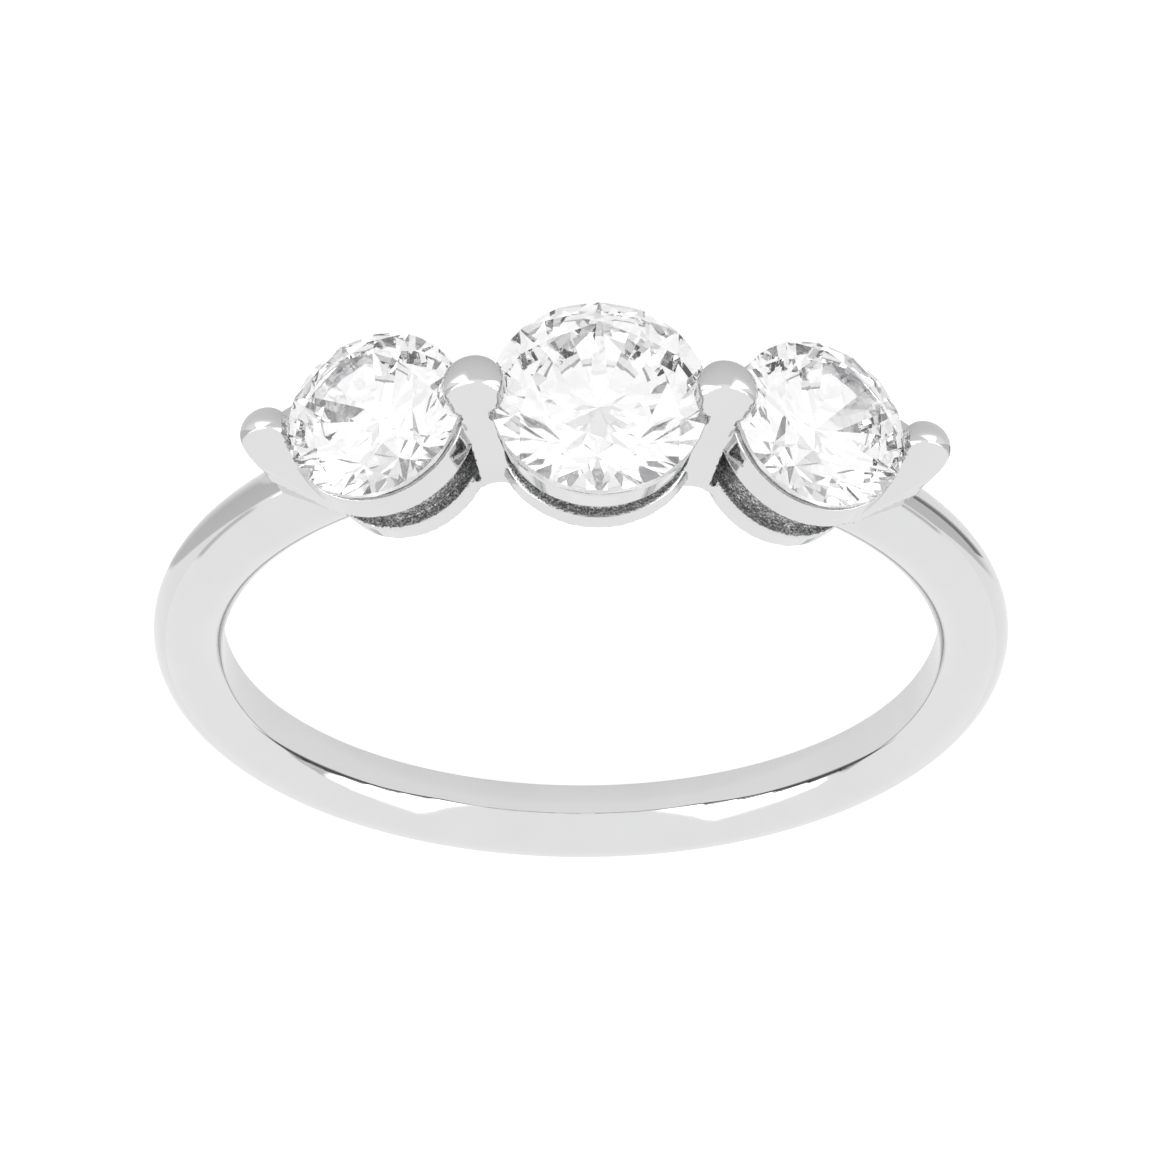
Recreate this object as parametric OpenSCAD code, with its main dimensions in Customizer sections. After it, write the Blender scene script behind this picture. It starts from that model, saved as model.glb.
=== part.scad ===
// Three stone ring lying on its side: one polished metal mount and three round cut stones.
// The finger axis points up, leaning a little, and the stones face -Y.

/* [Band] */
// bore of the finger hole
finger_d = 17.3; // [14:0.1:22]
// band thickness from the bore to the outside
band_thick = 1.68; // [1:0.05:3]
// radius of the round outside of the band section
band_round = 0.92; // [0.6:0.02:1.6]
// radius of the slightly domed inside of the band section
band_inside = 1.47; // [1:0.05:4]
// width of the true cylinder left in the bore
land_w = 0.76; // [0.2:0.02:1.6]
// angle from the head at which the band ends
band_end = 36.5; // [20:1:40]

/* [Centre stone] */
// diameter of the centre stone
centre_d = 5; // [3:0.05:8]
// height of its girdle above the ring centre
centre_h = 11.21; // [10:0.01:14]

/* [Side stones] */
// diameter of each side stone
side_d = 4.25; // [2:0.05:6]
// height of a side girdle along its own axis
side_h = 11.42; // [10:0.01:14]
// lean of a side stone away from the centre one
side_lean = 22.6; // [0:0.1:45]
// shift of a side stone across its axis
side_shift = 0.78; // [0:0.01:2]

/* [Cut] */
// table width as a share of the stone
table_share = 0.57; // [0.4:0.01:0.7]
// crown slope in degrees
crown_slope = 34.5; // [25:0.5:42]
// pavilion slope in degrees
pavilion_slope = 40.8; // [38:0.1:44]
// girdle thickness as a share of the stone
girdle_share = 0.025; // [0.01:0.005:0.06]
// gap between stone and metal
seat_gap = 0.03; // [0.01:0.01:0.1]

/* [Claws] */
// radius of a shared claw
claw_r = 0.73; // [0.3:0.01:1]
// radius of an end claw
end_r = 0.62; // [0.3:0.01:1]
// rise of the domed claw tips
claw_dome = 0.42; // [0.05:0.01:0.5]
// distance of the flat front of a shared claw from the middle plane
claw_front = 0.46; // [0.2:0.01:1]
// distance of the flat front of an end claw from the middle plane
end_front = 0.32; // [0.2:0.01:1]
// spread of the claw front towards its root in degrees
claw_spread = 12.1; // [0:0.1:30]
// spread of the front of an end claw towards its root in degrees
end_spread = 12.4; // [0:0.1:30]
// angle of a shared claw from the centre stone
shared_angle = 13.9; // [8:0.1:20]
// rim height of a shared claw above the ring centre
shared_h = 12.12; // [11:0.01:14]
// half width of the pillar under a shared claw
pillar_w = 0.38; // [0.2:0.01:0.8]
// distance of an end claw from its stone axis
end_reach = 2.63; // [2:0.01:4]
// rim height of an end claw along its stone axis
end_h = 11.66; // [11:0.01:14]
// how much wider an end claw is at its root
end_root = 0.12; // [0:0.01:0.3]

/* [Collars] */
// depth of the matt groove between the rails
groove_deep = 0.3; // [0.1:0.01:0.6]
// small bevel on the rail edges
bevel = 0.05; // [0.02:0.01:0.1]
// radius of the open hole under the centre stone
centre_hole = 1.5; // [0.5:0.05:2]
// radius of the open hole under a side stone
side_hole = 1.25; // [0.5:0.05:1.6]

/* [Hidden] */
$fn = 96;
Ri = finger_d / 2;
Rc = Ri + band_thick - band_round;
metal = [0.86, 0.86, 0.88];
glassy = [0.9, 0.95, 1];
// lean at rest: the band's far edge and the centre girdle both touch the floor, the
// girdle where its lower edge dips between two facets
dip = centre_d / 2 * tan(pavilion_slope) * (1 - cos(11.25));
touch_u = centre_h - centre_d * girdle_share / 2 - dip;
touch_l = norm([touch_u + Rc, centre_d / 2]);
rest_lean = atan(centre_d / 2 / (touch_u + Rc)) - asin(band_round / touch_l);
rest_z = band_round + Rc * sin(rest_lean);
// shift that puts the box centre on the origin
centre_y = 0.9315;

module at_rest() {
    translate([0, centre_y, rest_z]) rotate([-rest_lean, 0, 0]) children();
}

// frame with z along the axis of a stone at angle a and y along the finger axis
module axis_frame(a, shift = 0) {
    rotate([0, 0, a]) rotate([90, 0, 0]) translate([shift, 0, 0]) children();
}

// round brilliant: girdle in the middle at z = 0, table up, ground from a round blank
module brilliant(d) {
    r = d / 2;
    big = r / cos(11.25);
    g = d * girdle_share / 2;
    rt = r * table_share / cos(22.5);
    hc = (r - r * table_share) * tan(crown_slope);
    hp = r * tan(pavilion_slope);
    rs = 0.5 * (r * table_share + r);
    zs = hc * (big - rs * cos(22.5)) / (big - rt);
    rl = 0.22 * r;
    zl = hp * (1 - rl * cos(22.5) / big);
    table = [for (i = [0:7]) [rt * cos(45 * i), rt * sin(45 * i), g + hc]];
    star = [for (i = [0:7]) [rs * cos(45 * i + 22.5), rs * sin(45 * i + 22.5), g + zs]];
    upper = [for (i = [0:15]) [big * cos(22.5 * i), big * sin(22.5 * i), g]];
    lower = [for (i = [0:15]) [big * cos(22.5 * i), big * sin(22.5 * i), -g]];
    low = [for (i = [0:7]) [rl * cos(45 * i + 22.5), rl * sin(45 * i + 22.5), -g - zl]];
    pts = concat(table, star, upper, lower, low, [[0, 0, -g - hp]]);
    T = 0; S = 8; U = 16; L = 32; P = 48; C = 56;
    faces = concat(
        [[for (i = [7:-1:0]) T + i]],
        [for (i = [0:7]) [T + i, T + (i + 1) % 8, S + i]],
        [for (i = [0:7]) [T + i, S + i, U + 2 * i, S + (i + 7) % 8]],
        [for (i = [0:7]) [S + i, U + 2 * i + 1, U + 2 * i]],
        [for (i = [0:7]) [S + i, U + (2 * i + 2) % 16, U + 2 * i + 1]],
        [for (i = [0:15]) [U + i, U + (i + 1) % 16, L + (i + 1) % 16, L + i]],
        [for (i = [0:7]) [P + i, L + 2 * i, L + 2 * i + 1]],
        [for (i = [0:7]) [P + i, L + 2 * i + 1, L + (2 * i + 2) % 16]],
        [for (i = [0:7]) [P + i, C, P + (i + 7) % 8, L + 2 * i]]
    );
    intersection() {
        polyhedron(pts, faces);
        translate([0, 0, -d]) cylinder(r = r, h = 2 * d);
    }
}

// room that a stone needs in the metal, the stone with its gap all round
module seat(d, hole) {
    r = d / 2 + seat_gap;
    g = d * girdle_share / 2 + seat_gap;
    rt = d / 2 * table_share;
    hc = (r - rt) * tan(crown_slope);
    hp = r * tan(pavilion_slope);
    translate([0, 0, -g]) cylinder(r = r, h = 2 * g);
    translate([0, 0, g]) cylinder(r1 = r, r2 = rt, h = hc);
    translate([0, 0, -g - hp]) cylinder(r1 = 0, r2 = r, h = hp);
    translate([0, 0, -4]) cylinder(r = hole, h = 4 - (r - hole) * tan(pavilion_slope) - g);
}

// collar turned from a profile of rails and groove: radius and height pairs
module collar(top, up_low, low_top, bottom) {
    deep = min(up_low[0], low_top[0]) - groove_deep;
    b = bevel;
    rotate_extrude() polygon([
        [0.4, bottom[1]], [bottom[0] - b, bottom[1]], [bottom[0], bottom[1] + b],
        [low_top[0], low_top[1] - b], [low_top[0] - b, low_top[1]], [deep, low_top[1]],
        [deep, up_low[1]], [up_low[0] - b, up_low[1]], [up_low[0], up_low[1] + b],
        [top[0], top[1] - b], [top[0] - b, top[1]], [0.4, top[1]]
    ]);
}

module centre_collar() {
    axis_frame(0) collar([2.44, 10.95], [2.26, 10.1], [2.28, 9.64], [2.34, 9.28]);
}

module side_collar(s) {
    axis_frame(s * side_lean, s * side_shift) difference() {
        collar([2.13, 11.17], [2.22, 10.54], [1.93, 9.46], [1.86, 8.88]);
        for (y = [-1, 1]) rotate([0, 0, 90 + s * (90 + 29 * y)]) pocket(-y * s);
    }
}

// blind three-cornered pocket in the upper rail beside a shared claw
module pocket(way) {
    translate([1.95, 0, 10.85]) rotate([90, 0, 90]) linear_extrude(1)
        polygon([[0.25 * way, 0.22], [0.2 * way, -0.18], [-0.25 * way, 0.1]]);
}

// round claw tip with a shallow dome, from height low up to its rim, wider below if asked
module tip(r, rim, low, wider = 0) {
    rs = (r * r + claw_dome * claw_dome) / (2 * claw_dome);
    intersection() {
        union() {
            translate([0, 0, low]) cylinder(r1 = r + wider, r2 = r, h = rim - low);
            translate([0, 0, rim - 0.01]) cylinder(r = r, h = claw_dome + 0.02);
        }
        translate([0, 0, rim + claw_dome - rs]) sphere(r = rs);
    }
}

// keeps what lies between two planes that start at the claw front and spread towards the root
module between_fronts(rim, front, spread) {
    difference() {
        children();
        translate([0, front, rim]) rotate([spread, 0, 0])
            translate([-3, 0, -6]) cube([6, 3, 8]);
        translate([0, -front, rim]) rotate([-spread, 0, 0])
            translate([-3, -3, -6]) cube([6, 3, 5.9]);
    }
}

module shared_claw() {
    between_fronts(shared_h, claw_front, claw_spread) {
        tip(claw_r, shared_h, 10.6);
        translate([-pillar_w, -1.5, 9.4]) cube([2 * pillar_w, 3, shared_h - 9.5]);
        // root with an arched underside that joins the two collars
        difference() {
            translate([-0.42, -1.5, 8.9]) cube([1.34, 3, 0.52]);
            translate([0.03, 0, 8.6]) rotate([90, 0, 0]) cylinder(r = 0.71, h = 4, center = true);
        }
    }
}

// end claw, wider at its root, with side webs that run to the collar and meet it on its flanks
module end_claw() {
    a = acos((2.12 - 0.62) / end_reach);
    p = [end_reach + 0.62 * cos(a), 0.62 * sin(a)];
    q = [2.12 * cos(a), 2.12 * sin(a)];
    translate([end_reach, 0, 0]) between_fronts(end_h, end_front, end_spread)
        tip(end_r, end_h, 9.2, end_root);
    translate([0, 0, 9.8]) linear_extrude(1.3)
        polygon([p, q, [q[0] - 0.2, 0], [q[0], -q[1]], [p[0], -p[1]]]);
}

module band() {
    difference() {
        intersection() {
            rotate_extrude() translate([Rc, 0]) circle(r = band_round);
            rotate_extrude() translate([Ri - land_w * land_w / 8 / band_inside + band_inside, 0])
                circle(r = band_inside);
        }
        rotate([0, 0, -90]) translate([0, 0, -2]) linear_extrude(4)
            polygon([[0, 0], [20 * cos(band_end), -20 * sin(band_end)],
                [20 * cos(band_end), 20 * sin(band_end)]]);
    }
}

module mount() {
    color(metal) at_rest() difference() {
        union() {
            band();
            centre_collar();
            for (s = [-1, 1]) {
                side_collar(s);
                axis_frame(s * shared_angle) mirror([s < 0 ? 1 : 0, 0, 0]) shared_claw();
                axis_frame(s * side_lean, s * side_shift)
                    mirror([s < 0 ? 1 : 0, 0, 0]) end_claw();
            }
        }
        axis_frame(0) translate([0, 0, centre_h]) seat(centre_d, centre_hole);
        for (s = [-1, 1]) axis_frame(s * side_lean, s * side_shift)
            translate([0, 0, side_h]) seat(side_d, side_hole);
        translate([0, 0, -4]) cylinder(r = Ri, h = 8);
    }
}

module side_stone(s) {
    color(glassy) at_rest() axis_frame(s * side_lean, s * side_shift)
        translate([0, 0, side_h]) rotate([0, 0, 22.5]) brilliant(side_d);
}

module centre_stone() {
    color(glassy) at_rest() axis_frame(0) translate([0, 0, centre_h]) brilliant(centre_d);
}

module left_stone() {
    side_stone(-1);
}

module right_stone() {
    side_stone(1);
}

mount();
centre_stone();
left_stone();
right_stone();
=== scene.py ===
# %% [markdown]
# # A three stone ring, dressed
# A slim polished band carries three round white stones in one head. The solids of the ring
# come from the CAD part. This lesson keeps the real sizes, gives the metal its soft polished
# edges and its matt grooves, cuts the stones facet by facet, and lights it all like a small
# product photograph. Everything is in metres, in the frame of the CAD part.

# %% Load the ring as a fixed frame
import math
import bpy
import numpy as np
from mathutils import Vector, Matrix


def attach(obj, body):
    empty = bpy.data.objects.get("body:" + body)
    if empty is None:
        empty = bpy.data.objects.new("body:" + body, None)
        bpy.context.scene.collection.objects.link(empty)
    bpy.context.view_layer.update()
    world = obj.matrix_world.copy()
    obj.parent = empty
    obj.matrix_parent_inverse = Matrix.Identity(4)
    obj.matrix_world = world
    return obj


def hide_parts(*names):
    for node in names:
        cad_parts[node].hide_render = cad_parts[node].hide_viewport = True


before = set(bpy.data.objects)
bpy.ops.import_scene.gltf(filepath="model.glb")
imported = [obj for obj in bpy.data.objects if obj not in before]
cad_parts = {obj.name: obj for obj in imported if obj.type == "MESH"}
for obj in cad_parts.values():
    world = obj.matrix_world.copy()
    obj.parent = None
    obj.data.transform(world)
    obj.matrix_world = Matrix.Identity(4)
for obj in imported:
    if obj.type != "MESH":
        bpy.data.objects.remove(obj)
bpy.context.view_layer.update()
MM = 0.001

# %% [markdown]
# ## The pose of the ring
# The ring lies on its side, so its finger axis leans back a little from upright: the far edge
# of the band and the girdle of the centre stone touch the table. One matrix holds that pose,
# so that every later cell can think in the simple frame of the ring: z along the finger axis
# and the stones towards -y.

# %% Place the ring frame
LEAN = math.radians(4.396286)
RING_CENTRE = Vector((0, 0.9315, 1.641318)) * MM
ring_to_table = Matrix.Translation(RING_CENTRE) @ Matrix.Rotation(-LEAN, 4, "X")
print("finger axis in the scene", ring_to_table.to_3x3() @ Vector((0, 0, 1)))

# %% [markdown]
# ## The camera
# A jewel is photographed from far away through a long lens, so that the band does not look
# swollen at the front. The direction, distance and lens were fitted to the outline of the
# ring. The camera hangs with its top towards the table, because the photograph shows the
# stones at the top of the picture.

# %% Set the camera
TO_CAMERA = Vector((0.03161, -0.83026, 0.55648)).normalized()
DISTANCE = 168 * MM
FOCAL_PIXELS = 6945
PICTURE = 1160                  # pixels along a side
SENSOR = 36                     # millimetres along a side
RING_PIXEL = (580.93, 639.19)   # where the middle of the ring lies in the picture

# the top of the picture, in the frame of the ring, and a last small roll about the line of sight
TIP, SWING, ROLL = math.radians(29.42), math.radians(-2.08), math.radians(0.10)
sideways, to_stones, finger_axis = Vector((-1, 0, 0)), Vector((0, -1, 0)), Vector((0, 0, 1))
up = (sideways * math.sin(TIP) * math.sin(SWING)
      + to_stones * math.sin(TIP) * math.cos(SWING) - finger_axis * math.cos(TIP))
up = (ring_to_table.to_3x3() @ up).normalized()
right = up.cross(TO_CAMERA).normalized()
up = TO_CAMERA.cross(right)
turn = Matrix.Rotation(ROLL, 3, TO_CAMERA)
right, up = turn @ right, turn @ up

camera_data = bpy.data.cameras.new("camera")
camera_data.sensor_width = SENSOR
camera_data.lens = FOCAL_PIXELS / PICTURE * SENSOR
camera_data.shift_x = -(RING_PIXEL[0] - PICTURE / 2) / PICTURE
camera_data.shift_y = (RING_PIXEL[1] - PICTURE / 2) / PICTURE
camera_data.clip_start, camera_data.clip_end = 0.01, 20
camera = bpy.data.objects.new("camera", camera_data)
bpy.context.scene.collection.objects.link(camera)
rotation = Matrix((right, up, TO_CAMERA)).transposed().to_4x4()
camera.matrix_world = Matrix.Translation(RING_CENTRE + TO_CAMERA * DISTANCE) @ rotation
bpy.context.scene.camera = camera
print("lens", round(camera_data.lens, 1), "mm, camera at", camera.matrix_world.translation)

# %% [markdown]
# ## The mount as one skin
# On the real ring the band, the three open collars and the four claws are cast, soldered and
# then polished until every joint flows and every edge is a little soft. Bevels on a mesh with
# so many tangled joints tear. A distance function doesn't: each shape says how far a point is
# from its surface, and two shapes are joined or cut with a soft minimum or maximum whose
# width is the fillet. The sizes are those of the CAD part, in millimetres and degrees.

# %% Join and cut softly
FINGER_R = 8.65
EDGE = 0.07          # softened outside edges
FILLET = 0.10        # solder fillets


def cut(a, b, k=EDGE):
    """What is in both shapes, the edge between them softened by about k."""
    h = np.maximum(k - np.abs(a - b), 0) / k
    return np.maximum(a, b) + h * h * k / 4


def join(a, b, k=FILLET):
    """What is in either shape, with a fillet of about k in the corner between them."""
    h = np.maximum(k - np.abs(a - b), 0) / k
    return np.minimum(a, b) - h * h * k / 4


def stone_axes(p, angle, shift=0.0):
    """Coordinates along a stone's own axis: z outwards, y along the finger axis."""
    c, s = math.cos(math.radians(angle)), math.sin(math.radians(angle))
    x, y = p[:, 0] * c + p[:, 1] * s, -p[:, 0] * s + p[:, 1] * c
    return x - shift, p[:, 2], -y


print("edges softened by", EDGE, "mm, fillets", FILLET, "mm")

# %% [markdown]
# ## The band
# The band has a round outside. Its inside is a narrow true cylinder with a softly domed face
# on each side of it, which is what makes such a ring slip on easily. The line where the two
# meet shows as a fine crease. It is closest to the middle at the bottom of the ring and runs
# outwards up the sides, where the domed faces fade out.

# %% Shape the band
BAND_THICK, BAND_R = 1.68, 0.92
BAND_MIDDLE = FINGER_R + BAND_THICK - BAND_R
BAND_END = math.radians(36.5)

# the domed face: its radius and where its centre lies, from the axis and behind the middle
DOME_R, DOME_AT, DOME_BACK = 6.0, 14.356, 1.614
# that dome has its crease here, and a dome drawn out by 1 mm has it this much further out
DOME_CREASE, CREASE_PER_DRAW = 0.242, 2.85
DRAW_LEAST, DRAW_MOST = -0.03, 0.1
# where the crease is wanted: at the bottom, and its rise for each degree up the sides
CREASE_LOW, CREASE_RISE = -0.05, 0.0095
CREASE_EDGE, LAND_EDGE = 0.02, 0.01


def band(p):
    """The band, ended below the head."""
    rho = np.hypot(p[:, 0], p[:, 1])
    outside = np.hypot(rho - BAND_MIDDLE, p[:, 2]) - BAND_R
    from_bottom = np.degrees(np.arctan2(np.abs(p[:, 0]), p[:, 1]))
    wanted = CREASE_LOW + CREASE_RISE * from_bottom
    drawn = np.clip((wanted - DOME_CREASE) / CREASE_PER_DRAW, DRAW_LEAST, DRAW_MOST)
    inside = np.hypot(rho + drawn - DOME_AT, np.abs(p[:, 2]) + DOME_BACK) - DOME_R
    d = cut(cut(outside, inside, CREASE_EDGE), FINGER_R - rho, LAND_EDGE)
    from_top = np.arctan2(np.abs(p[:, 0]), -p[:, 1])
    return np.maximum(d, rho * (BAND_END - from_top))


print("creases in the finger hole", CREASE_LOW, "mm from the middle at the bottom, rising",
      CREASE_RISE, "mm for each degree up the sides")

# %% [markdown]
# ## The collars
# Each stone sits in an open collar: two polished rails with a matt groove between them. A
# collar is turned on a lathe, so its distance is worked out in the flat picture of radius and
# height, from the sloped outer lines of the rails. Beside each shared claw a small blind
# pocket with three corners lightens the upper rail of a side collar.

# %% Shape the collars
# radius and height of the upper rail's top and foot, then of the lower rail's top and foot
SIDE = [(2.13, 11.17), (2.22, 10.54), (1.93, 9.46), (1.86, 8.88)]
CENTRE = [(2.44, 10.95), (2.26, 10.1), (2.28, 9.64), (2.34, 9.28)]
GROOVE_DEEP, CORE_SHORT, CORE_FILLET = 0.3, 0.1, 0.03


def side_line(r, z, a, b):
    """How far outside the sloped line from a to b a point of the profile lies."""
    n = math.hypot(a[1] - b[1], b[0] - a[0])
    return ((r - a[0]) * (a[1] - b[1]) + (z - a[1]) * (b[0] - a[0])) / n


def collar(x, y, z, top, up_low, low_top, bottom):
    """Two rails round a core, which is the floor of the groove between them."""
    r = np.hypot(x, y)
    deep = min(up_low[0], low_top[0]) - GROOVE_DEEP
    upper = cut(side_line(r, z, top, up_low), cut(z - top[1], up_low[1] - z))
    lower = cut(side_line(r, z, low_top, bottom), cut(z - low_top[1], bottom[1] - z))
    ends = np.maximum(z - top[1] + CORE_SHORT, bottom[1] + CORE_SHORT - z)
    return join(np.minimum(upper, lower), np.maximum(r - deep, ends), CORE_FILLET)


print("grooves", GROOVE_DEEP, "mm deep, side collars", 2 * SIDE[0][0], "mm across the top")

# %% Shape the pockets
POCKET_TURN, POCKET_H, POCKET_FLOOR, POCKET_EDGE = 29, 10.85, 1.95, 0.02
POCKET_CORNERS = [(0.25, 0.22), (0.2, -0.18), (-0.25, 0.1)]   # across and up


def pocket(x, y, z, side, way):
    """A blind hole with three corners in a side collar, on each side of its shared claw."""
    beta = math.radians(90 + side * (90 + POCKET_TURN * way))
    c, s = math.cos(beta), math.sin(beta)
    out, across, up = x * c + y * s, -x * s + y * c, z - POCKET_H
    hand = -way * side
    corners = [(a * hand, b) for a, b in POCKET_CORNERS]
    if hand > 0:
        corners.reverse()
    d = POCKET_FLOOR - out
    for (ax, az), (bx, bz) in zip(corners, corners[1:] + corners[:1]):
        n = math.hypot(bx - ax, bz - az)
        d = cut(d, ((across - ax) * (bz - az) - (up - az) * (bx - ax)) / n, POCKET_EDGE)
    return d


print("pockets", POCKET_TURN, "degrees to each side of the claw")

# %% [markdown]
# ## The claws
# Two claws are shared by neighbouring stones and two stand alone at the ends. Each is a round
# bar with a domed tip that leans over the edge of the stone. The front and back are ground
# flat, and the flats spread towards the root. An end claw also has two side webs, which carry
# the line of the upper rail on to the claw.

# %% Shape the tip of a claw and grind it flat
CLAW_DOME = 0.42
RIM_EDGE, FACE_EDGE, FLAT_EDGE, BACK_FILLET, BACK_SHORT = 0.05, 0.04, 0.08, 0.12, 0.1


def tip(x, y, z, r, rim, low, wider=0.0):
    """A round bar from low to rim, with a domed top; its foot is wider by a little."""
    ball_r = (r * r + CLAW_DOME * CLAW_DOME) / (2 * CLAW_DOME)
    h = rim - low
    side = (np.hypot(x, y) - r - (rim - z) / h * wider) / math.hypot(1, wider / h)
    ball = np.sqrt(x * x + y * y + (z - rim - CLAW_DOME + ball_r) ** 2) - ball_r
    return cut(cut(side, ball, RIM_EDGE), low - z)


def flatten(d, y, z, rim, front, spread):
    """Grind the front and back of a claw flat; the planes spread towards its root."""
    c, s = math.cos(math.radians(spread)), math.sin(math.radians(spread))
    face = (y - front) * c + (z - rim) * s
    back = (-y - front) * c + (z - rim) * s
    stop = -((y + front) * s + (z - rim) * c + BACK_SHORT)
    return cut(cut(d, face, FACE_EDGE), join(back, stop, BACK_FILLET), FLAT_EDGE)


print("claws domed by", CLAW_DOME, "mm")

# %% Shape the shared claws
SHARED_ANGLE, SHARED_R, SHARED_RIM, SHARED_LOW = 13.9, 0.73, 12.12, 10.6
SHARED_FRONT, SHARED_SPREAD = 0.4, 12.9   # the CAD part has 0.46 and 12.1 here
# limits of the bar between the stones and of its foot: x, y and z
PILLAR, FOOT = (-0.38, 0.38, -1.5, 1.5, 9.4, 12.02), (-0.42, 0.92, -1.5, 1.5, 8.9, 9.42)
FOOT_ARCH_R, FOOT_ARCH_X, FOOT_ARCH_Z = 0.71, 0.03, 8.6
PILLAR_FILLET = 0.1


def box(x, y, z, limits, k=EDGE):
    x0, x1, y0, y1, z0, z1 = limits
    dx, dy = np.maximum(x0 - x, x - x1), np.maximum(y0 - y, y - y1)
    return cut(cut(dx, dy, k), np.maximum(z0 - z, z - z1), k)


def shared_claw(p, side):
    x, y, z = stone_axes(p, side * SHARED_ANGLE)
    x = x * side
    bar = tip(x, y, z, SHARED_R, SHARED_RIM, SHARED_LOW)
    bar = join(bar, box(x, y, z, PILLAR), PILLAR_FILLET)
    arch = FOOT_ARCH_R - np.hypot(x - FOOT_ARCH_X, z - FOOT_ARCH_Z)
    foot = cut(box(x, y, z, FOOT), arch)
    return flatten(join(bar, foot), y, z, SHARED_RIM, SHARED_FRONT, SHARED_SPREAD)


print("shared claws", 2 * SHARED_R, "mm wide")

# %% Shape the end claws and their webs
SIDE_LEAN, SIDE_SHIFT = 22.6, 0.78
END_R, END_RIM, END_LOW, END_WIDER, END_REACH = 0.62, 11.66, 9.2, 0.12, 2.63
END_FRONT, END_SPREAD = 0.32, 12.4
WEB_R = 2.12                                  # where a web touches the rail
RAIL_FLARE, RAIL_OUT, RAIL_TUCK = 0.143, 0.09, 0.135
WEB_START, WEB_SKEW = 1.02, 0.2
WEB_TOP, WEB_TOP_AT, WEB_TOP_SLOPE, WEB_TOP_EDGE = 11.1, 0.75, 0.5, 0.12
WEB_FOOT, WEB_FOOT_AT, WEB_FOOT_SLOPE = 10.5, 1.2, 0.5
WEB_FILLET = 0.3


def end_claw(p, side):
    x, y, z = stone_axes(p, side * SIDE_LEAN, side * SIDE_SHIFT)
    x, aside = x * side, np.abs(y)
    claw = tip(x - END_REACH, y, z, END_R, END_RIM, END_LOW, END_WIDER)
    claw = flatten(claw, y, z, END_RIM, END_FRONT, END_SPREAD)
    # the flank runs straight from the rail to the claw and flares as the rail does
    (rail_r, rail_top), (_, rail_foot) = SIDE[:2]
    a = math.acos((WEB_R - END_R) / END_REACH)
    flare = np.where(z > rail_foot, RAIL_FLARE * (rail_top - z),
                     RAIL_OUT - RAIL_TUCK * (rail_foot - z))
    flank = math.cos(a) * x + math.sin(a) * aside - rail_r - flare
    inner = WEB_START + WEB_SKEW / (WEB_R * math.sin(a)) * aside - x
    ends = np.maximum(inner, x - END_REACH - END_R * math.cos(a))
    top = z + WEB_TOP_SLOPE * (aside - WEB_TOP_AT) - WEB_TOP
    below = WEB_FOOT - WEB_FOOT_SLOPE * (x - WEB_FOOT_AT) - z
    web = cut(cut(flank, top, WEB_TOP_EDGE), cut(ends, below))
    return join(claw, web, WEB_FILLET)


print("end claws", 2 * END_R, "mm wide")

# %% [markdown]
# ## Seats and the whole mount
# A setter cuts a seat that follows the stone, a hair wider than the stone itself, with a hole
# below it that lets light in. The whole mount is the band joined with the head, less the three
# seats and the finger hole.

# %% Cut the seats
CENTRE_D, CENTRE_H, CENTRE_HOLE = 5.0, 11.21, 1.5   # width, height of the girdle, hole radius
SIDE_D, SIDE_H, SIDE_HOLE = 4.25, 11.42, 1.25
TABLE_SHARE, GIRDLE_SHARE, CROWN_SLOPE, PAVILION_SLOPE = 0.57, 0.025, 34.5, 40.8
SEAT_GAP, HOLE_DEEP = 0.03, 4


def seat(x, y, z, d, height, hole):
    """The room of one stone, a hair wider than the stone, and the hole below it."""
    rho, z = np.hypot(x, y), z - height
    r, rt = d / 2 + SEAT_GAP, d / 2 * TABLE_SHARE
    g = d * GIRDLE_SHARE / 2 + SEAT_GAP
    hc = (r - rt) * math.tan(math.radians(CROWN_SLOPE))
    hp = r * math.tan(math.radians(PAVILION_SLOPE))
    crown = ((rho - r) * hc + (z - g) * (r - rt)) / math.hypot(hc, r - rt)
    cone = ((rho - r) * hp - (z + g) * r) / math.hypot(hp, r)
    cup = np.maximum(np.maximum(rho - r, crown), np.maximum(cone, z - g - hc))
    return np.minimum(cup, np.maximum(np.maximum(rho - hole, z), -HOLE_DEEP - z))


print("seats for stones of", CENTRE_D, "and", SIDE_D, "mm, wider by", SEAT_GAP, "mm")

# %% Put the head and the mount together
POCKET_RIM, COLLAR_FILLET, CLAW_FILLET, END_FILLET = 0.03, 0.05, 0.06, 0.15
BAND_FILLET, SEAT_EDGE, BORE_EDGE = 0.12, 0.05, 0.04
HEAD_REACH = math.radians(52)


def head(p):
    x, y, z = stone_axes(p, 0)
    d = collar(x, y, z, *CENTRE)
    for side in (-1, 1):
        a, b, c = stone_axes(p, side * SIDE_LEAN, side * SIDE_SHIFT)
        drum = collar(a, b, c, *SIDE)
        for way in (-1, 1):
            drum = cut(drum, -pocket(a, b, c, side, way), POCKET_RIM)
        d = join(d, drum, COLLAR_FILLET)
        d = join(join(d, shared_claw(p, side), CLAW_FILLET), end_claw(p, side), END_FILLET)
    return d


def mount(p):
    from_top = np.arctan2(np.abs(p[:, 0]), -p[:, 1])
    d = band(p)
    near = from_top < HEAD_REACH
    q = p[near]
    m = join(d[near], head(q), BAND_FILLET)
    x, y, z = stone_axes(q, 0)
    m = cut(m, -seat(x, y, z, CENTRE_D, CENTRE_H, CENTRE_HOLE), SEAT_EDGE)
    for side in (-1, 1):
        a, b, c = stone_axes(q, side * SIDE_LEAN, side * SIDE_SHIFT)
        m = cut(m, -seat(a, b, c, SIDE_D, SIDE_H, SIDE_HOLE), SEAT_EDGE)
    m = cut(m, FINGER_R - np.hypot(q[:, 0], q[:, 1]), BORE_EDGE)
    d[near] = m
    return d


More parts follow.
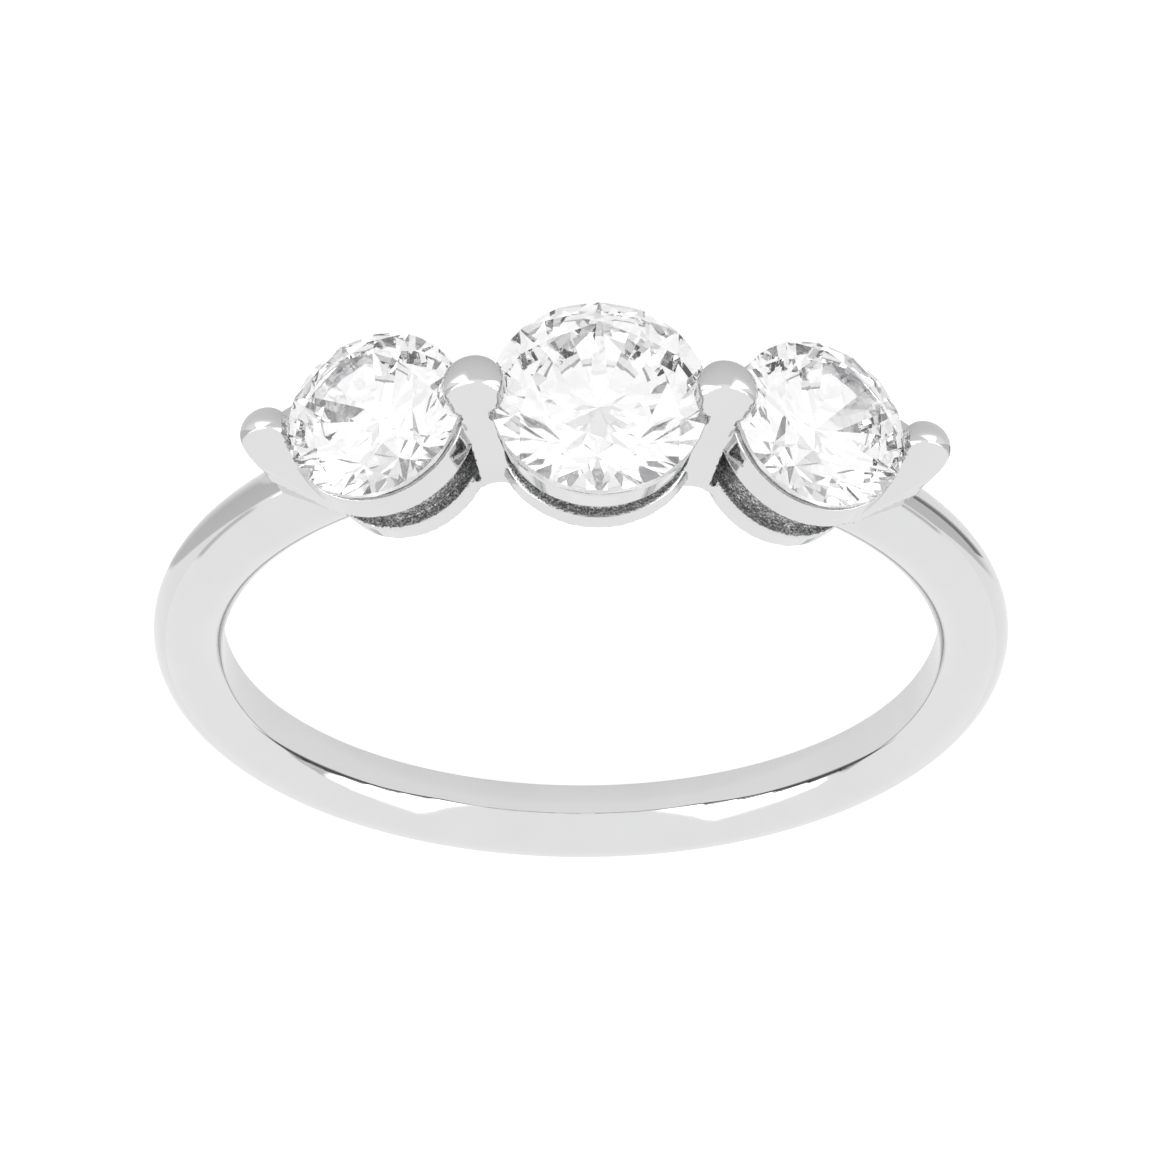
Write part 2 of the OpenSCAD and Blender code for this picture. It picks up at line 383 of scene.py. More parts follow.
def gradient(f, p, h=0.004):
    """The slope of a distance function at each point, from steps of h to both sides."""
    g = np.empty_like(p)
    for k in range(3):
        step = np.zeros(3)
        step[k] = h
        g[:, k] = (f(p + step) - f(p - step)) / (2 * h)
    return g


print("distance at the middle of the lower band:",
      mount(np.array([[0, BAND_MIDDLE, 0]]))[0], "mm")

# %% [markdown]
# ## A skin over the distances
# Blender needs faces. Surface nets lay a grid of cells round the finger, fine in the head and
# coarser along the band, put one point into each cell that the surface crosses, and join the
# points of neighbouring cells. Where two skins pass through one cell, it gets a point for each,
# so that the result is always closed. The points then slide along the slope of the distance
# until they lie on the true surface.

# %% Lay out the grid
FINE, COARSE = 0.066, 0.3                     # cell sizes in the head and along the band
GRID_IN, GRID_OUT, GRID_HALF = 8.5, 12.75, 2.62
HEAD_SPAN, HEAD_MEAN_R, BAND_MEAN_R = math.radians(46), 11.0, 9.5


def grid_lines(fine):
    """Lines of the grid: round the finger, outwards and along the finger axis."""
    r = np.arange(GRID_IN, GRID_OUT, fine)
    a = np.arange(-GRID_HALF, GRID_HALF + fine, fine)
    n_head = int(2 * HEAD_SPAN * HEAD_MEAN_R / fine)
    n_band = int((2 * math.pi - 2 * HEAD_SPAN) * BAND_MEAN_R / COARSE)
    f = np.concatenate([
        np.linspace(-HEAD_SPAN, HEAD_SPAN, n_head, endpoint=False),
        np.linspace(HEAD_SPAN, 2 * math.pi - HEAD_SPAN, n_band, endpoint=False)])
    return f, r, a


def in_ring(f, r, a):
    f, r, a = np.broadcast_arrays(f, r, a)
    return np.stack([r * np.sin(f), -r * np.cos(f), a], -1)


lines = grid_lines(FINE)
print("grid lines round, out and along:", [len(line) for line in lines])

# %% Measure the distance at every crossing of the lines
SKIN_IN = 0.005         # keeps the skin inside the box of the CAD part
ROWS_AT_ONCE = 24


def mount_skin(p):
    return mount(p) + SKIN_IN


def sample(distance, lines):
    f, r, a = lines
    d = np.empty((len(f), len(r), len(a)), np.float32)
    for start in range(0, len(f), ROWS_AT_ONCE):
        part = f[start:start + ROWS_AT_ONCE]
        p = in_ring(part[:, None, None], r[:, None], a)
        here = distance(p.reshape(-1, 3))
        d[start:start + ROWS_AT_ONCE] = here.reshape(len(part), len(r), len(a))
    return d


distances = sample(mount_skin, lines)
solid = distances < 0
ring = np.concatenate([solid, solid[:1]])   # the first row again, to close the circle
print("crossings:", distances.size, "of them in the metal:", int(solid.sum()))

# %% Sort the skins in a cell
CORNERS = np.array([(i, j, k) for i in (0, 1) for j in (0, 1) for k in (0, 1)])
EDGES = [(m, n) for m in range(8) for n in range(m + 1, 8)
         if np.abs(CORNERS[m] - CORNERS[n]).sum() == 1]


def skins_in_a_cell():
    """For each pattern of solid corners, which skin each edge of the cell belongs to."""
    table = np.zeros((256, 12), np.int8)
    for pattern in range(256):
        solid = [pattern >> m & 1 for m in range(8)]
        group = list(range(12))
        for axis in range(3):
            for side in (0, 1):
                ring = [n for n, (m, e) in enumerate(EDGES)
                        if CORNERS[m][axis] == side == CORNERS[e][axis]
                        and solid[m] != solid[e]]
                for n in ring:
                    for o in ring:
                        shared = set(EDGES[n]) & set(EDGES[o])
                        if len(ring) == 2 or any(solid[c] for c in shared):
                            old, new = group[o], group[n]
                            group = [new if g == old else g for g in group]
        cut_edges = [n for n, (m, e) in enumerate(EDGES) if solid[m] != solid[e]]
        order = sorted({group[n] for n in cut_edges})
        for n in cut_edges:
            table[pattern, n] = order.index(group[n])
    return table


SKINS = skins_in_a_cell()
print("a cell holds up to", SKINS.max() + 1, "skins")


# %% Put a point in each crossed cell
def points_in_cells(d, ring, lines):
    """The points, each cell's row in the list of crossed cells, and the points by edge."""
    f, r, a = lines
    n = len(f)
    code = sum(ring[i:n + i, j:len(r) - 1 + j, k:len(a) - 1 + k].astype(np.int16) << m
               for m, (i, j, k) in enumerate(CORNERS))
    cells = np.argwhere((code > 0) & (code < 255))
    i, j, k = cells.T
    skins = SKINS[code[i, j, k]]
    value = np.stack([d[(i + x) % n, j + y, k + z] for x, y, z in CORNERS], 1)
    total, hits = np.zeros((len(cells), 4, 3)), np.zeros((len(cells), 4))
    for e, (m, o) in enumerate(EDGES):
        crosses = np.flatnonzero((value[:, m] < 0) != (value[:, o] < 0))
        share = value[crosses, m] / (value[crosses, m] - value[crosses, o])
        total[crosses, skins[crosses, e]] += (
            CORNERS[m] + share[:, None] * (CORNERS[o] - CORNERS[m]))
        hits[crosses, skins[crosses, e]] += 1
    used, skin = np.nonzero(hits)
    place = total[used, skin] / hits[used, skin][:, None]
    i, j, k = i[used], j[used], k[used]
    f_end = np.append(f, f[0] + 2 * math.pi)
    points = in_ring(f_end[i] + place[:, 0] * (f_end[i + 1] - f_end[i]),
                     r[j] + place[:, 1] * (r[j + 1] - r[j]),
                     a[k] + place[:, 2] * (a[k + 1] - a[k]))
    number = np.full((len(cells), 4), -1)
    number[used, skin] = np.arange(len(points))
    row = np.full(code.shape, -1, np.int32)
    row[tuple(cells.T)] = np.arange(len(cells))
    return points, row, np.take_along_axis(number, skins.astype(int), 1)


points, row, number = points_in_cells(distances, ring, lines)
print(len(points), "points in", len(number), "crossed cells")


# %% Join the points of neighbouring cells
def faces_between_cells(ring, row, number):
    """A four sided face across each line of the grid that the surface cuts."""
    n, faces = len(ring) - 1, []
    for axis in range(3):
        step = [int(x == axis) for x in range(3)]
        u, v = [x for x in range(3) if x != axis]
        here = ring[:n, :ring.shape[1] - step[1], :ring.shape[2] - step[2]]
        there = ring[step[0]:n + step[0], step[1]:, step[2]:]
        for filled in (False, True):
            crossed = np.argwhere((here != there) & (here == filled))
            quad = []
            for du, dv in ((1, 1), (0, 1), (0, 0), (1, 0)):
                cell = crossed.copy()
                cell[:, u] -= du
                cell[:, v] -= dv
                start = [0, 0, 0]
                start[u], start[v] = du, dv
                m = start[0] * 4 + start[1] * 2 + start[2]
                e = EDGES.index((m, m + (4, 2, 1)[axis]))
                quad.append(number[row[cell[:, 0] % n, cell[:, 1], cell[:, 2]], e])
            quad = np.stack(quad, 1)
            faces.append(quad if filled == (axis == 1) else quad[:, ::-1])
    return np.concatenate(faces)


faces = faces_between_cells(ring, row, number)
print(len(faces), "faces with four sides")

# %% Settle the points on the surface
LEAST_SLOPE, LONGEST_STEP, ROUNDS = 0.3, 0.03, 4
for _ in range(ROUNDS):
    slope = gradient(mount_skin, points)
    step = mount_skin(points) / np.maximum((slope * slope).sum(1), LEAST_SLOPE)
    points = points - np.clip(step, -LONGEST_STEP, LONGEST_STEP)[:, None] * slope
normals = gradient(mount_skin, points)
normals /= np.linalg.norm(normals, axis=1)[:, None]
print("mount skin:", len(points), "points", len(faces), "faces")

# %% [markdown]
# ## Where the metal is matt
# The floors of the grooves and pockets can't be reached by a polishing wheel, so the maker
# leaves them bead blasted. A point attribute marks them, because it follows the shape exactly
# and travels with the mesh. The normals of the skin come from the slope of the distances, which
# keeps the reflections as smooth as on the polished ring.

# %% Mark the matt places
MATT_REACH, RAIL_CLEAR, MATT_BLEND = 0.02, 0.05, 0.2


def blasted_share(p):
    """How deep a point lies in a groove or pocket, with 0.5 on their rim."""
    deep = np.full(len(p), -1.0)
    for side, profile in ((0, CENTRE), (-1, SIDE), (1, SIDE)):
        x, y, z = stone_axes(p, side * SIDE_LEAN, side * SIDE_SHIFT)
        (up_low_r, high), (low_top_r, low) = profile[1:3]
        walls = np.minimum(high + MATT_REACH - z, z - low + MATT_REACH)
        floor_r = min(up_low_r, low_top_r) - RAIL_CLEAR
        deep = np.maximum(deep, np.minimum(floor_r - np.hypot(x, y), walls))
        if side:
            for way in (-1, 1):
                deep = np.maximum(deep, MATT_REACH - pocket(x, y, z, side, way))
    return np.clip(0.5 + deep / MATT_BLEND, 0, 1)


blasted_points = blasted_share(points)
print("blasted points:", int((blasted_points > 0.5).sum()), "of", len(points))

# %% Make the mount piece
def make_piece(name, points, faces, normals):
    """A smooth piece in metres, in the frame of the CAD part, with its normals set."""
    mesh = bpy.data.meshes.new(name)
    turn = np.array(ring_to_table.to_3x3())
    at = points @ turn.T * MM + np.array(ring_to_table.translation)
    mesh.from_pydata(at.tolist(), [], faces.tolist())
    mesh.polygons.foreach_set("use_smooth", np.ones(len(faces), bool))
    mesh.normals_split_custom_set_from_vertices((normals @ turn.T).tolist())
    mesh.validate()
    piece = bpy.data.objects.new(name, mesh)
    bpy.context.scene.collection.objects.link(piece)
    return piece


mount_piece = make_piece("polished_mount", points, faces, normals)
blasted = mount_piece.data.attributes.new("blasted", "FLOAT", "POINT")
blasted.data.foreach_set("value", blasted_points.astype(np.float32))
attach(mount_piece, "root")
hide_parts("mount")
print("mount piece:", len(mount_piece.data.vertices), "points")

# %% [markdown]
# ## Three brilliants from one rule
# Every round brilliant follows the same rule: a table, eight star facets, eight kites and
# sixteen upper halves on the crown, and sixteen lower halves and eight mains below. The cutter
# starts from a round blank, and so does this tree: the corners of the facets are set out on
# circles, a convex hull makes the flat facets between them, and a cylinder as wide as the stone
# leaves the thin scalloped girdle. One tree with named sizes cuts all three stones.

# %% Write sums with nodes
def maths(tree, operation, *values, clamp=False):
    """One sum as a Math node; a value is a number or the socket it comes from."""
    node = tree.nodes.new("ShaderNodeMath")
    node.operation, node.use_clamp = operation, clamp
    for socket, value in zip(node.inputs, values):
        if isinstance(value, (int, float)):
            socket.default_value = value
        else:
            tree.links.new(value, socket)
    return node.outputs[0]


def new_node(tree, kind, **links_and_values):
    """A node whose inputs are given by name, each as a value or as a socket."""
    node = tree.nodes.new(kind)
    for name, value in links_and_values.items():
        socket = node.inputs[name.replace("_", " ")]
        if isinstance(value, bpy.types.NodeSocket):
            tree.links.new(value, socket)
        else:
            socket.default_value = value
    return node


def length_of(tree, a, b):
    squares = maths(tree, "MULTIPLY", a, a), maths(tree, "MULTIPLY", b, b)
    return maths(tree, "SQRT", maths(tree, "ADD", *squares))


DEGREES = 180 / math.pi
print("helpers ready:", maths.__name__, new_node.__name__, length_of.__name__)

# %% Name the sizes of the brilliant
brilliant = bpy.data.node_groups.new("round_brilliant", "GeometryNodeTree")
brilliant.is_modifier = True
LOWER_CORNER = 0.22   # how far out the lower halves reach towards the point, as a share
for name, kind, value in (
        ("Width", "Float", CENTRE_D), ("Table Share", "Float", TABLE_SHARE),
        ("Crown Slope", "Float", CROWN_SLOPE), ("Pavilion Slope", "Float", PAVILION_SLOPE),
        ("Girdle Share", "Float", GIRDLE_SHARE), ("Lower Corner", "Float", LOWER_CORNER),
        ("Place", "Vector", None), ("Turn", "Rotation", None), ("Stone", "Material", None)):
    socket = brilliant.interface.new_socket(name, in_out="INPUT",
                                            socket_type="NodeSocket" + kind)
    if value is not None:
        socket.default_value = value
brilliant.interface.new_socket("Geometry", in_out="OUTPUT", socket_type="NodeSocketGeometry")
size = brilliant.nodes.new("NodeGroupInput").outputs
print("sizes of the brilliant:", [s.name for s in size if s.name])


# %% Work out the rule of the brilliant
def less(a, b):
    return maths(brilliant, "SUBTRACT", a, b)


def times(a, b):
    return maths(brilliant, "MULTIPLY", a, b)


def plus(a, b):
    return maths(brilliant, "ADD", a, b)


def over(a, b):
    return maths(brilliant, "DIVIDE", a, b)


def tan_of(degrees):
    return maths(brilliant, "TANGENT", times(degrees, 1 / DEGREES))


EIGHTH, SIXTEENTH = math.pi / 8, math.pi / 16
radius = times(size["Width"], 0.5)
corner_r = times(radius, 1 / math.cos(SIXTEENTH))
girdle = times(times(size["Width"], size["Girdle Share"]), 0.5)
table_in = times(radius, size["Table Share"])
table_r = times(table_in, 1 / math.cos(EIGHTH))
crown = times(less(radius, table_in), tan_of(size["Crown Slope"]))
pavilion = times(radius, tan_of(size["Pavilion Slope"]))
star_r = times(plus(table_in, radius), 0.5)
star_rise = over(times(crown, less(corner_r, times(star_r, math.cos(EIGHTH)))),
                 less(corner_r, table_r))
low_r = times(radius, size["Lower Corner"])
low_drop = times(pavilion, less(1.0, over(times(low_r, math.cos(EIGHTH)), corner_r)))
print("the rule of the brilliant takes", len(brilliant.nodes), "nodes")

# %% Set out the corners and cut the facets
POINT_R, BLANK_SIDES, BLANK_TALL = 0.001, 96, 4.0
below = times(girdle, -1)
# how many corners, how far out, how high and how far turned
rings = [
    (8, table_r, plus(girdle, crown), 0), (8, star_r, plus(girdle, star_rise), EIGHTH),
    (16, corner_r, girdle, 0), (16, corner_r, below, 0),
    (8, low_r, less(below, low_drop), EIGHTH), (8, POINT_R, less(below, pavilion), 0),
]
corners = brilliant.nodes.new("GeometryNodeJoinGeometry")
for count, ring_r, height, turn_by in rings:
    circle = new_node(brilliant, "GeometryNodeMeshCircle", Vertices=count, Radius=ring_r)
    up_by = new_node(brilliant, "ShaderNodeCombineXYZ", Z=height).outputs[0]
    placed = new_node(brilliant, "GeometryNodeTransform", Geometry=circle.outputs[0],
                      Translation=up_by, Rotation=(0, 0, turn_by))
    brilliant.links.new(placed.outputs[0], corners.inputs[0])
hull = new_node(brilliant, "GeometryNodeConvexHull", Geometry=corners.outputs[0])
blank = new_node(brilliant, "GeometryNodeMeshCylinder", Vertices=BLANK_SIDES, Radius=radius,
                 Depth=times(radius, BLANK_TALL))
ground = brilliant.nodes.new("GeometryNodeMeshBoolean")
ground.operation, ground.solver = "INTERSECT", "EXACT"
for part in (hull.outputs[0], blank.outputs["Mesh"]):
    brilliant.links.new(part, ground.inputs["Mesh 2"])
print("corners of the facets on", len(rings), "circles, ground to a blank of", BLANK_SIDES)

# %% Frost the girdle, place the stone and end the tree
facing = brilliant.nodes.new("ShaderNodeSeparateXYZ")
brilliant.links.new(brilliant.nodes.new("GeometryNodeInputNormal").outputs[0], facing.inputs[0])
UPRIGHT = 0.05   # faces that look this little up or down are the girdle's
upright = maths(brilliant, "LESS_THAN", maths(brilliant, "ABSOLUTE", facing.outputs["Z"]),
                UPRIGHT)
frost = brilliant.nodes.new("GeometryNodeStoreNamedAttribute")
frost.data_type, frost.domain = "FLOAT", "FACE"
frost.inputs["Name"].default_value = "frosted"
brilliant.links.new(ground.outputs["Mesh"], frost.inputs["Geometry"])
brilliant.links.new(upright, frost.inputs["Value"])
placed = new_node(brilliant, "GeometryNodeTransform", Geometry=frost.outputs[0],
                  Translation=size["Place"], Rotation=size["Turn"], Scale=(MM, MM, MM))
real = new_node(brilliant, "GeometryNodeRealizeInstances", Geometry=placed.outputs[0])
dressed = new_node(brilliant, "GeometryNodeSetMaterial", Geometry=real.outputs[0],
                   Material=size["Stone"])
end = brilliant.nodes.new("NodeGroupOutput")
brilliant.links.new(dressed.outputs[0], end.inputs["Geometry"])
print("the tree has", len(brilliant.nodes), "nodes")

# %% [markdown]
# ## Cubic zirconia
# The stones are colourless and bend light strongly, with an index of about 2.16, so light that
# enters the table is thrown back out by the facets below. Clear facets stay perfectly smooth.
# The girdle is left as the grinding wheel leaves it, finely frosted, and the faintest haze of
# handling takes the last trace of brightness off. The haze comes from a group that the metal
# uses too.

# %% Build the handling marks that stones and metal share
marks = bpy.data.node_groups.new("handling_marks", "ShaderNodeTree")
marks.interface.new_socket("Vector", in_out="INPUT", socket_type="NodeSocketVector")
for name, way in (("Haze Size", "INPUT"), ("Hairline Width", "INPUT"), ("Haze", "OUTPUT"),
                  ("Hairlines", "OUTPUT")):
    marks.interface.new_socket(name, in_out=way, socket_type="NodeSocketFloat")
given = marks.nodes.new("NodeGroupInput").outputs
haze = new_node(marks, "ShaderNodeTexNoise", Vector=given["Vector"], Detail=3.0,
                Scale=maths(marks, "DIVIDE", 1.0, given["Haze Size"]))
COMB = (0.12, 1.7, 1.7)   # hairlines are noise that is drawn out along one way
hairlines = []
for turn_by, seed in (((0.4, 0.2, 0.9), 0.0), ((1.3, 0.5, 2.2), 40.0)):
    combed = new_node(marks, "ShaderNodeMapping", Vector=given["Vector"], Rotation=turn_by,
                      Scale=COMB, Location=(seed, seed, seed))
    wisps = new_node(marks, "ShaderNodeTexNoise", Vector=combed.outputs[0], Scale=1.0,
                     Detail=2.0)
    off = maths(marks, "ABSOLUTE", maths(marks, "SUBTRACT", wisps.outputs["Fac"], 0.5))
    hairlines.append(maths(marks, "SUBTRACT", 1.0, maths(marks, "DIVIDE", off,
                     given["Hairline Width"]), clamp=True))
out = marks.nodes.new("NodeGroupOutput")
marks.links.new(haze.outputs["Fac"], out.inputs["Haze"])
marks.links.new(maths(marks, "MAXIMUM", *hairlines), out.inputs["Hairlines"])
print("handling marks:", [s.name for s in marks.interface.items_tree])


# %% Write the helpers that both materials use
def in_millimetres(tree):
    """Object coordinates turned into the frame of the ring, in millimetres."""
    middle = ring_to_table.to_3x3().inverted() @ RING_CENTRE / MM
    place = tree.nodes.new("ShaderNodeTexCoord").outputs["Object"]
    return new_node(tree, "ShaderNodeMapping", Vector=place, Location=-middle,
                    Rotation=(LEAN, 0, 0), Scale=(1 / MM, 1 / MM, 1 / MM)).outputs[0]


def mixed(tree, factor, a, b):
    """A colour between two colours, each given as a value or as a socket."""
    node = tree.nodes.new("ShaderNodeMix")
    node.data_type = "RGBA"
    for socket, value in ((node.inputs["Factor"], factor), (node.inputs[6], a),
                          (node.inputs[7], b)):
        if isinstance(value, bpy.types.NodeSocket):
            tree.links.new(value, socket)
        else:
            socket.default_value = value
    return node.outputs[2]


def handle(tree, place, haze_size, hairline_width):
    """The handling marks placed in a material; its outputs are Haze and Hairlines."""
    group = tree.nodes.new("ShaderNodeGroup")
    group.node_tree = marks
    tree.links.new(place, group.inputs["Vector"])
    group.inputs["Haze Size"].default_value = haze_size
    group.inputs["Hairline Width"].default_value = hairline_width
    return group.outputs


print("material helpers:", in_millimetres.__name__, mixed.__name__, handle.__name__)

# %% Finish the stones
ZIRCONIA_INDEX = 2.16
CLEAR, HAZED = (0.97, 0.97, 0.975, 1), (0.91, 0.91, 0.915, 1)
FROST = 0.35
stone = bpy.data.materials.new("white_zirconia")
stone.use_nodes = True
tree = stone.node_tree
shader = tree.nodes["Principled BSDF"]
shader.inputs["Transmission Weight"].default_value = 1
shader.inputs["IOR"].default_value = ZIRCONIA_INDEX
handled = handle(tree, in_millimetres(tree), haze_size=0.9, hairline_width=0.004)
tree.links.new(mixed(tree, handled["Haze"], CLEAR, HAZED), shader.inputs["Base Color"])
frosted = tree.nodes.new("ShaderNodeAttribute")
frosted.attribute_name = "frosted"
tree.links.new(maths(tree, "MULTIPLY", frosted.outputs["Fac"], FROST),
               shader.inputs["Roughness"])
print("stone: index", ZIRCONIA_INDEX, "girdle roughness", FROST)

# %% Cut the three stones
SIDE_SPIN = 22.5
# node, piece, width, lean, shift, height of the girdle and turn about its own axis
STONES = [
    ("centre_stone", "centre_brilliant", CENTRE_D, 0.0, 0.0, CENTRE_H, 0.0),
    ("left_stone", "left_brilliant", SIDE_D, -SIDE_LEAN, -SIDE_SHIFT, SIDE_H, SIDE_SPIN),
    ("right_stone", "right_brilliant", SIDE_D, SIDE_LEAN, SIDE_SHIFT, SIDE_H, SIDE_SPIN),
]
sockets = {s.name: s.identifier for s in brilliant.interface.items_tree if s.in_out == "INPUT"}
for node_name, piece_name, width, lean, shift, height, spin in STONES:
    spot = (ring_to_table @ Matrix.Scale(MM, 4) @ Matrix.Rotation(math.radians(lean), 4, "Z")
            @ Matrix.Rotation(math.radians(90), 4, "X") @ Matrix.Translation((shift, 0, height))
            @ Matrix.Rotation(math.radians(spin), 4, "Z"))
    holder = bpy.data.objects.new(piece_name, bpy.data.meshes.new("blank"))
    bpy.context.scene.collection.objects.link(holder)
    cutter = holder.modifiers.new("cut", "NODES")
    cutter.node_group = brilliant
    cutter[sockets["Width"]] = width
    cutter[sockets["Place"]] = spot.translation
    cutter[sockets["Turn"]] = spot.to_3x3().normalized().to_euler()
    cutter[sockets["Stone"]] = stone
    seen = holder.evaluated_get(bpy.context.evaluated_depsgraph_get())
    cut_mesh = bpy.data.meshes.new_from_object(seen)
    holder.modifiers.remove(cutter)
    holder.data = cut_mesh
    holder.data.name = piece_name
    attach(holder, "root")
    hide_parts(node_name)
    print(piece_name, width, "mm wide,", len(cut_mesh.polygons), "facets")

# %% [markdown]
# ## Polished and blasted metal
# The mount is a white metal polished to a mirror. A real polish is never perfect: the casting
# leaves a faint ripple, and wear leaves haze and hairlines that only show where a light is
# reflected. The floors of the grooves and pockets are blasted with fine beads, which leaves them
# matt with tiny dimples, and their colour is made dark with light flecks. Both are one material,
# because it is one piece of metal, and the marked points say which finish shows.

# %% Build the blasted grain
grain = bpy.data.node_groups.new("blasted_grain", "ShaderNodeTree")
grain.interface.new_socket("Vector", in_out="INPUT", socket_type="NodeSocketVector")
grain.interface.new_socket("Grain Size", in_out="INPUT", socket_type="NodeSocketFloat")
grain.interface.new_socket("Sparkle", in_out="OUTPUT", socket_type="NodeSocketFloat")
grain.interface.new_socket("Height", in_out="OUTPUT", socket_type="NodeSocketFloat")
given = grain.nodes.new("NodeGroupInput").outputs
dimples = new_node(grain, "ShaderNodeTexVoronoi", Vector=given["Vector"],
                   Scale=maths(grain, "DIVIDE", 1.0, given["Grain Size"]))
glint = grain.nodes.new("ShaderNodeSeparateColor")
grain.links.new(dimples.outputs["Color"], glint.inputs[0])
out = grain.nodes.new("NodeGroupOutput")
grain.links.new(maths(grain, "POWER", glint.outputs[0], 2.0), out.inputs["Sparkle"])
grain.links.new(dimples.outputs["Distance"], out.inputs["Height"])
print("blasted grain:", [s.name for s in grain.interface.items_tree])

# %% Mask the painted dark reflection along the creases in the finger hole
metal = bpy.data.materials.new("polished_metal")
metal.use_nodes = True
tree = metal.node_tree
place = in_millimetres(tree)
axes = new_node(tree, "ShaderNodeSeparateXYZ", Vector=place).outputs
x, y, along = axes["X"], axes["Y"], axes["Z"]
# painted reflection: a dark line painted along the crease, on one side of the band only, stands
# in for the dark that its narrow edge mirrors; the line lies this far outside the crease; where
# it starts, swells and ends is in degrees
LINE_OFF, LINE_LEAST, LINE_SOFT, BORE_REACH = 0.01, 0.166, 1.5, 0.06
LINE_HALF, SWELL_HALF, SWELL_AT, SWELL_FADE, SWELL_TOP = 0.012, 0.03, 47.0, 10.0, 1.4
LINE_START, START_FADE, LINE_END, END_FADE = 12.0, 10.0, 66.0, 8.0
from_axis = length_of(tree, x, y)
turned = maths(tree, "MULTIPLY", maths(tree, "ARCTAN2", maths(tree, "ABSOLUTE", x), y), DEGREES)
crease_at = maths(tree, "ADD", maths(tree, "MULTIPLY", turned, CREASE_RISE),
                  CREASE_LOW + LINE_OFF)
crease_at = maths(tree, "MAXIMUM", crease_at, LINE_LEAST)
off_line = maths(tree, "ABSOLUTE", maths(tree, "SUBTRACT", along, crease_at))
off_swell = maths(tree, "ABSOLUTE", maths(tree, "SUBTRACT", turned, SWELL_AT))
swell = maths(tree, "SUBTRACT", SWELL_TOP, maths(tree, "DIVIDE", off_swell, SWELL_FADE),
              clamp=True)
half_line = maths(tree, "ADD", LINE_HALF, maths(tree, "MULTIPLY", swell, SWELL_HALF))
line = maths(tree, "SUBTRACT", LINE_SOFT, maths(tree, "DIVIDE", off_line, half_line),
             clamp=True)
in_bore = maths(tree, "LESS_THAN", from_axis, FINGER_R + BORE_REACH)
on_sides = maths(tree, "DIVIDE", maths(tree, "SUBTRACT", turned, LINE_START), START_FADE,
                 clamp=True)
below_head = maths(tree, "DIVIDE", maths(tree, "SUBTRACT", LINE_END, turned), END_FADE,
                   clamp=True)
painted_crease_reflection = maths(tree, "MULTIPLY", maths(tree, "MULTIPLY", line, in_bore),
               maths(tree, "MULTIPLY", on_sides, below_head))
print("crease line from", LINE_START, "to", LINE_END, "degrees from the bottom")

# %% Mix polish, blasting, wear and the painted crease reflection
SILVER, HAZY_SILVER = (0.70, 0.70, 0.705, 1), (0.66, 0.66, 0.665, 1)
DARK_FLOOR, GLINT, PAINTED_DARK_REFLECTION = (0.18, 0.18, 0.182, 1), (0.9, 0.9, 0.91, 1), (0.01, 0.01, 0.01, 1)
GRAIN_SIZE, BLAST_FROM, BLAST_STEEP, PAINTED_REFLECTION_SHARE = 0.036, 0.45, 8.0, 0.9
POLISHED, BLASTED, HAZE_ROUGH, HAIRLINE_ROUGH = 0.03, 0.5, 0.05, 0.08
shader = tree.nodes["Principled BSDF"]
shader.inputs["Metallic"].default_value = 1
handled = handle(tree, place, haze_size=1.6, hairline_width=0.003)
beads = new_node(tree, "ShaderNodeGroup")
beads.node_tree = grain
tree.links.new(place, beads.inputs["Vector"])
beads.inputs["Grain Size"].default_value = GRAIN_SIZE
marked = tree.nodes.new("ShaderNodeAttribute")
marked.attribute_name = "blasted"
blast = maths(tree, "MULTIPLY", maths(tree, "SUBTRACT", marked.outputs["Fac"], BLAST_FROM),
              BLAST_STEEP, clamp=True)
polish = mixed(tree, handled["Haze"], SILVER, HAZY_SILVER)
# the floors of the grooves and pockets are coloured dark, flecked with light
dark_flecked_floor = mixed(tree, beads.outputs["Sparkle"], DARK_FLOOR, GLINT)
# the painted dark reflection along the crease darkens the polish here
with_painted_reflection = mixed(tree, maths(tree, "MULTIPLY", painted_crease_reflection, PAINTED_REFLECTION_SHARE), polish, PAINTED_DARK_REFLECTION)
tree.links.new(mixed(tree, blast, with_painted_reflection, dark_flecked_floor), shader.inputs["Base Color"])
wear = maths(tree, "ADD", maths(tree, "MULTIPLY", handled["Haze"], HAZE_ROUGH),
             maths(tree, "MULTIPLY", handled["Hairlines"], HAIRLINE_ROUGH))
rough = tree.nodes.new("ShaderNodeMix")
tree.links.new(blast, rough.inputs["Factor"])
tree.links.new(maths(tree, "ADD", wear, POLISHED), rough.inputs["A"])
rough.inputs["B"].default_value = BLASTED
tree.links.new(rough.outputs[0], shader.inputs["Roughness"])
print("roughness: polished", POLISHED, "blasted", BLASTED)

# %% Ripple and dimple the surface
RIPPLES_A_MM, RIPPLE_HIGH, DIMPLE_DEEP = 0.55, 0.0000025, 0.000012   # the last two in metres
cast = new_node(tree, "ShaderNodeTexNoise", Vector=place, Scale=RIPPLES_A_MM, Detail=1.0)
ripple = new_node(tree, "ShaderNodeBump", Height=cast.outputs["Fac"], Distance=RIPPLE_HIGH)
dimple = maths(tree, "MULTIPLY", beads.outputs["Height"], blast)
pitted = new_node(tree, "ShaderNodeBump", Height=dimple, Distance=DIMPLE_DEEP,
                  Normal=ripple.outputs[0])
tree.links.new(pitted.outputs[0], shader.inputs["Normal"])
mount_piece.data.materials.append(metal)
print("metal nodes:", len(tree.nodes))

# %% [markdown]
# ## The table and the tent
# White jewellery is photographed in a light tent, a box of white cloth with lamps outside it.
# The metal is a mirror, so what it mirrors makes the picture: an even pale cloth, two bright
# windows of light at the sides that draw the white lenses inside the band, and darker cards
# beyond them that give the edges a line. The windows are tallest in their middle, like a
# gable, which gives each lens its kink. The cloth is the world here, because a world lights
# the ring from everywhere at no cost in faces. The table is pale and glows a little, so that
# the ring throws only a breath of shade.

